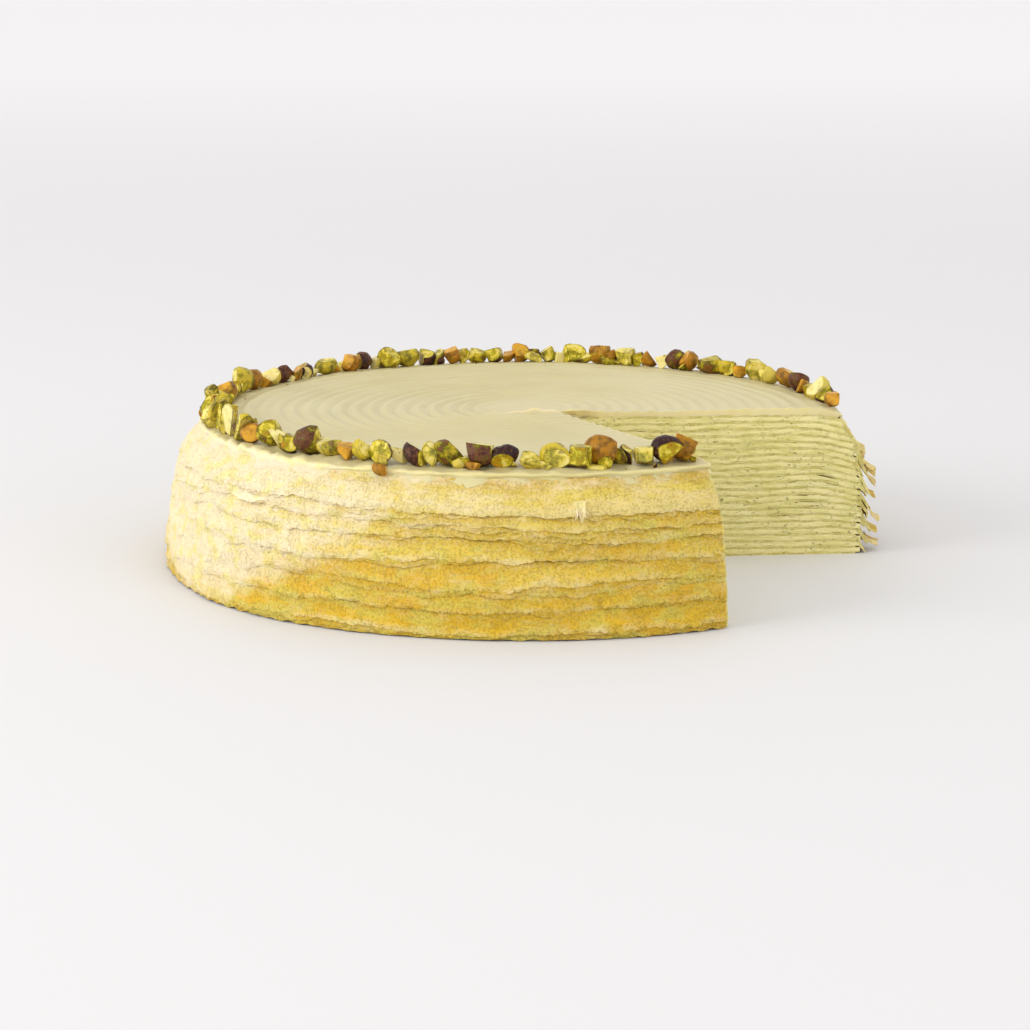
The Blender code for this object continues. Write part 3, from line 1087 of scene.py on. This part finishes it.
def cutNut(name, shape, seed):
    rng = random.Random(seed)
    piece = kernelShape(name, seed)
    for axis, facing, least, most, *leans in nutCuts[shape]:
        place = least if least == most else rng.uniform(least, most)
        point = [0, 0, 0]
        point[axis] = place * (nuts["width"] if axis else nuts["length"])
        normal = [rng.uniform(-lean, lean) for lean in leans]
        normal.insert(axis, facing)
        knifeCut(piece, point, normal)
    applyModifier(piece, "BEVEL", width=nuts["blunt"], segments=2, limit_method="ANGLE",
                  angle_limit=math.radians(38))
    makeActive(piece)
    startEditing()
    bpy.ops.mesh.quads_convert_to_tris()
    bpy.ops.mesh.normals_make_consistent(inside=False)
    endEditing()
    coords = pointsOf(piece)
    placePoints(piece, coords - (coords.min(0) + coords.max(0)) / 2)
    return piece


def creamHeightAt(radius):
    return creamTop - settled["sag"] * smoothStep(radius, settled["sagStart"] * outerRadius,
                                                  0.93 * outerRadius)


nutKinds = {"k": "kernels", "h": "halfKernels", "c": "nutChunks", "b": "nutBlocks",
            "s": "nutSlivers", "t": "nutBits"}


def joinNuts(members, name):
    finish(joined(members, name), None, "nut", "nut_ring", angle=32)


def placeNut(shape, colour, models, rng, turn, radius, scale, sink=nuts["sink"]):
    model = rng.choice(models[shape])
    nut = ownCopy(model, "nut")
    upright = rng.uniform(-nuts["tilt"], nuts["tilt"])
    if shape == "s" and math.radians(165) < turn < math.radians(222):
        upright = rng.uniform(0.5, 1.2) * rng.choice((-1, 1))
    spinAngle = turn + math.pi / 2 + rng.uniform(-nuts["twist"], nuts["twist"])
    # most cut faces look up or out of the ring, some look in
    facing = rng.uniform(-0.4, 2.5) if shape in "khc" else rng.uniform(0, math.tau)
    if shape in "bt":
        facing = 0.7 + rng.choice((0, math.pi / 2)) + rng.uniform(-0.3, 0.3)
    turned = (Matrix.Rotation(spinAngle, 4, "Z") @ Matrix.Rotation(upright, 4, "Y")
              @ Matrix.Rotation(facing - 0.7, 4, "X"))
    nut.data.transform(turned @ Matrix.Scale(scale, 4))
    coords = pointsOf(nut)
    lift = creamHeightAt(radius) - coords[:, 2].min() - sink
    coords += np.array([radius * math.cos(turn), radius * math.sin(turn), lift])
    placePoints(nut, coords)
    tone = np.array(tones[colour]) + np.array([rng.uniform(-0.12, 0.12), rng.uniform(-0.06, 0.06), 0])
    layer = nut.data.attributes.new("tone", "FLOAT_VECTOR", "POINT")
    layer.data.foreach_set("vector", np.tile(tone.astype(np.float32), len(coords)))
    return nut


def ringRadiusAt(turn):
    # the ring runs nearer the edge on the left
    return nuts["ringRadius"] + nuts["leftward"] * math.exp(-((turn - math.radians(195)) / 0.7) ** 2)


nutWidth = {"k": 6.6, "h": 6.2, "c": 5.6, "b": 5.8, "s": 2.4, "t": 2.8}


def makeNuts():
    models = {}
    for shape, kind in nutKinds.items():
        seeds = [nuts["seed"] + 17 * count + ord(shape) for count in range(nuts["models"])]
        models[shape] = [cutNut(f"{kind}{count}", shape, seed) for count, seed in enumerate(seeds)]
    rng = random.Random(nuts["seed"])
    start = cutAngle("frontSide", nuts["ringRadius"]) - math.radians(1.5)
    end = cutAngle("backSide", nuts["ringRadius"]) + math.radians(2.6)
    widths = [nutWidth[code[0]] * rng.uniform(0.9, 1.1) for code in ringOrder]
    unit = (start - end) / sum(widths)
    placed = {kind: [] for kind in nutKinds.values()}
    turn = start
    for code, width in zip(ringOrder, widths):
        turn -= width * unit / 2
        radius = ringRadiusAt(turn) + rng.uniform(-nuts["stray"], nuts["stray"]) * mm
        scale = rng.uniform(*nuts["sizes"]) * (0.92 if code[0] in "kh" else 1.0)
        # they look larger in front, most of all beside the cut
        scale *= 1 - nuts["frontLarger"] * math.sin(turn)
        scale *= nuts["besideCut"] if turn > start - math.radians(7) else 1.0
        nut = placeNut(code[0], code[1], models, rng, turn, radius, scale)
        placed[nutKinds[code[0]]].append(nut)
        turn -= width * unit / 2
    for _ in range(nuts["fillers"]):
        shape = rng.choice("ttsc")
        colour = rng.choice("pyg" if shape == "s" else "pyyggoaad")
        # more of them on the left and in front than behind
        turn = rng.uniform(end if rng.random() < 0.4 else math.radians(170), start)
        radius = ringRadiusAt(turn) + rng.choice((-1, 1)) * rng.uniform(*nuts["fillerStray"]) * mm
        scale = rng.uniform(*nuts["fillerSizes"]) * (0.75 if shape == "c" else 1.0)
        placed[nutKinds[shape]].append(placeNut(shape, colour, models, rng, turn, radius, scale))
    for kind, members in placed.items():
        joinNuts(members, kind)
    makeCrumbs(models)
    for family in models.values():
        for model in family:
            bpy.data.objects.remove(model)
    print("nuts placed:", len(ringOrder))


# degrees round the cake, height on its side, length, how tall and how thick, in mm
smears = (
    (222.5, 34.2, 17.0, 2.9, 2.3),
)
# torn flaps of crepe: degrees, height, width, how tall, how far the lower edge and one side
# stand out
scraps = (
    (277.6, 39.8, 3.6, 5.4, 1.8, 2.4),
    (3.4, 42.2, 8.0, 9.0, 5.2, 0.5),
    (2.0, 34.8, 5.5, 6.5, 4.2, 0.9),
    (3.0, 29.6, 6.0, 5.0, 2.4, 1.2),
    (3.6, 25.2, 6.0, 5.5, 3.4, 0.2),
    (1.8, 16.8, 5.0, 5.0, 3.0, 0.7),
    (3.0, 12.0, 6.5, 5.0, 3.6, 1.0),
    (2.6, 6.2, 6.0, 4.6, 3.8, 1.3),
)
# sizes and distances out are in mm
crumbs = {"count": 30, "sizes": (0.3, 0.75), "inside": 91.0, "outside": 100.3, "seed": 23}
# degrees, distance out in mm, kind, size and how far it has sunk in mm
strayBits = (
    (246.1, 103.8, "ca", 0.62, 2.2),
    (282.7, 98.8, "cg", 0.55, 0.3),
    (197.0, 100.5, "cy", 0.5, 0.5),
    (204.0, 100.6, "ty", 0.7, 0.5),
    (291.0, 100.6, "tu", 0.4, 0.3),
)


def surfaceAt(outer, turn, height):
    # how far out the side of the cake reaches at these angles and heights
    column, cell = columnAt(turn), cellAt(height)
    found = np.maximum(outer[column, cell], outer[column, np.clip(cell - 3, 0, None)])
    return np.where(found > 0, found, foldRadius(layerCount - 1)[column])


def makeSmears(outer):
    parts = []
    for count, (degrees, height, length, tall, thick) in enumerate(smears):
        clearSelection()
        bpy.ops.mesh.primitive_uv_sphere_add(segments=36, ring_count=18, radius=1, location=(0, 0, 0))
        part = bpy.context.object
        startEditing()
        bpy.ops.transform.rotate(value=math.pi / 2, orient_axis="Y", center_override=(0, 0, 0))
        endEditing()
        coords = pointsOf(part)
        ragged = noiseOver(coords[:, (0, 2, 1)] * (3, 2, 0) + (0, 0, count * 5))
        ruffle = noiseOver(coords[:, (0, 2, 1)] * (7, 3, 0) + (0, 0, count * 9))
        along = coords[:, 0] * length / 2 * mm
        up = (coords[:, 2] * tall / 2 * (1 + 0.5 * ragged) + 0.6 * tall * ragged * 0.5) * mm
        turn = math.radians(degrees) + along / (0.93 * outerRadius)
        level = height * mm + up
        proud = (coords[:, 1] * thick * (1 + 0.6 * ruffle) - 0.32 * thick) * mm
        placePoints(part, settle(roundPoints(surfaceAt(outer, turn, level) + proud, turn, level)))
        addPointValues(part, wiped=np.ones(len(coords)))
        faceOutwards(part)
        parts.append(part)
    finish(joined(parts, "creamSmears"), bpy.data.materials["spreadCream"], "top_cream", angle=70)
    print("smears made:", len(smears))


def makeScraps(outer):
    parts = []
    for count, (degrees, height, width, tall, standOut, sideOut) in enumerate(scraps):
        clearSelection()
        bpy.ops.mesh.primitive_grid_add(x_subdivisions=16, y_subdivisions=14, size=1, location=(0, 0, 0))
        part = bpy.context.object
        coords = pointsOf(part)
        across, down = coords[:, 0], coords[:, 1] + 0.5
        ragged = 1 + 0.22 * np.sin(across * 9 + count) + 0.10 * np.sin(across * 31 + count * 2)
        out = standOut * down ** 2 + sideOut * (across + 0.5) * (0.3 + 0.7 * down) + 0.25
        out += 0.25 * np.sin(across * 12 + count) * down
        level = (height - tall * ragged * down * (1 - 0.2 * down)) * mm
        turn = math.radians(degrees) + across * width * mm * (1 - 0.35 * down) / (0.93 * outerRadius)
        reach = surfaceAt(outer, turn, np.full(len(turn), height * mm)) + out * mm
        placePoints(part, settle(roundPoints(reach, turn, level)))
        even = np.ones(len(coords))
        # the first flap is painted pale, partly as painted light on its lit face; the others get a little
        # of the same
        creamy = 0.8 if count == 0 else 0.1 + 0.35 * (count % 2)
        addPointValues(part, fringe=np.clip(0.5 - 0.4 * down, 0.12, 1), under=even,
                       creamy=even * creamy, toast=even * -0.1)
        applyModifier(part, "SOLIDIFY", thickness=0.3 * mm, offset=0.0)
        faceOutwards(part)
        parts.append(part)
    finish(joined(parts, "looseScraps"), bpy.data.materials["softCrepe"], "crepe")
    print("scraps made:", len(scraps))


def makeCrumbs(models):
    # specks of nut round the ring, the same few shapes over and over
    rng = random.Random(crumbs["seed"])
    parts = []
    for _ in range(crumbs["count"]):
        turn = math.radians(rng.uniform(12, 294))
        radius = rng.choice((rng.gauss(crumbs["inside"], 1.3), rng.gauss(crumbs["outside"], 0.7))) * mm
        colour = rng.choice("pyygoadu")
        size = rng.uniform(*crumbs["sizes"]) / 4.2
        parts.append(placeNut("t", colour, models, rng, turn, radius, size, 0.15 * mm))
    for degrees, radius, code, size, sink in strayBits:
        turn = math.radians(degrees)
        parts.append(placeNut(code[0], code[1], models, rng, turn, radius * mm, size, sink * mm))
    joinNuts(parts, "nutCrumbs")
    print("crumbs placed:", len(parts))


studio = {
    "cameraAt": (-3.7 * mm, -896 * mm, 201 * mm),
    "cameraTilt": 78.11,
    "lens": 100.9,
    "floor": rgb(0.725, 0.718, 0.724),
    "floorMottle": rgb(0.715, 0.711, 0.717),
    "floorFarPaintedLight": rgb(0.885, 0.872, 0.880),
    "sky": rgb(1.0, 0.99, 0.985),
    "skyStrength": 1.02,
    "lampTint": (1.0, 0.985, 0.96),
    "keyPower": 16.5,
    "keyAt": (-1.5, -0.62, 0.62),
    "keySize": 1.3,
    "bouncePower": 4.5,
    "bounceAt": (1.15, -1.25, 0.42),
    "bounceSize": 1.2,
}


def makeStudio():
    clearSelection()
    bpy.ops.mesh.primitive_plane_add(size=24, location=(0, 8.0, 0))
    floor = bpy.context.object
    floor.name = "floor"
    bpy.ops.object.transform_apply(location=True)
    recipe = Recipe("paleFloor")
    away = recipe.add("ShaderNodeSeparateXYZ", {}, {"Vector": recipe.place()}, "Y")
    tint = recipe.mix(recipe.noise(1.2, 2), studio["floor"], studio["floorMottle"])
    # painted light: the floor is painted darker near the cake and lighter far off, standing in for the
    # brightly lit backdrop
    tint = recipe.mix(recipe.mask(away, 0.4, 3.0), tint, studio["floorFarPaintedLight"])
    normal = recipe.bump(recipe.noise(300, 2), 0.05 * mm, 0.2)
    floor.data.materials.append(recipe.finish(tint, 0.75, normal, Specular_IOR_Level=0.2))

    world = bpy.data.worlds.new("softRoom")
    bpy.context.scene.world = world
    world.use_nodes = True
    background = world.node_tree.nodes["Background"]
    background.inputs["Color"].default_value = studio["sky"]
    background.inputs["Strength"].default_value = studio["skyStrength"]

    for name in ("key", "bounce"):
        lamp = bpy.data.lights.new(name, "AREA")
        lamp.shape = "DISK"
        lamp.size = studio[name + "Size"]
        lamp.energy = studio[name + "Power"]
        lamp.color = studio["lampTint"]
        light = bpy.data.objects.new(name, lamp)
        light.location = studio[name + "At"]
        light.rotation_euler = (light.location - Vector((0, 0, 0.03))).to_track_quat("Z", "Y").to_euler()
        bpy.context.scene.collection.objects.link(light)

    lens = bpy.data.cameras.new("camera")
    lens.lens = studio["lens"]
    lens.sensor_width = 36
    lens.clip_start = 0.05
    camera = bpy.data.objects.new("camera", lens)
    camera.location = studio["cameraAt"]
    camera.rotation_euler = (math.radians(studio["cameraTilt"]), 0, 0)
    bpy.context.scene.collection.objects.link(camera)
    bpy.context.scene.camera = camera
    bpy.context.scene.view_settings.view_transform = "Standard"
    print("studio ready")


makeStudio()
shapes, outer = drape()
print("rims draped")
makeCrepes(shapes)
makeFillings()
makeCreamCap(outer)
makeSmears(outer)
makeScraps(outer)
nutFinish = {
    "skin": nutMaterial("nutSkin", True, 0.0),
    "flesh": nutMaterial("nutFlesh", False, 0.0),
    "rind": nutMaterial("nutRind", False, 0.30),
}
makeNuts()
